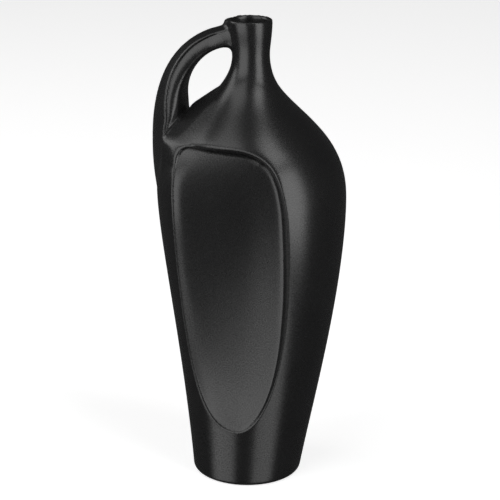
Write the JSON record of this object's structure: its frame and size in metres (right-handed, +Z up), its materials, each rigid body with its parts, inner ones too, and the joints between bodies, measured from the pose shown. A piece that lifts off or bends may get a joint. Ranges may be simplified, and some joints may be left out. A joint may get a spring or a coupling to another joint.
{
  "type": "ceramic bottle vase",
  "caption": "Tall narrow-necked bottle vase with a loop handle and a dished panel pressed into front and back, in satin glaze.",
  "frame": {"origin": "on the resting plane, under the middle of the foot", "axes": "+Z up along the neck's axis, -Y towards the front with its pressed panel, -X towards the handle"},
  "size_m": [0.192, 0.1524, 0.46],
  "materials": {
    "black_glaze": "satin",
    "bare_stoneware": "matte, unglazed"
  },
  "bodies": {
    "root": {"base_slab": "bare_stoneware", "belly_front_half": "black_glaze", "belly_back_half": "black_glaze", "neck_with_lip": "black_glaze", "handle": "black_glaze"}
  },
  "joints": []
}
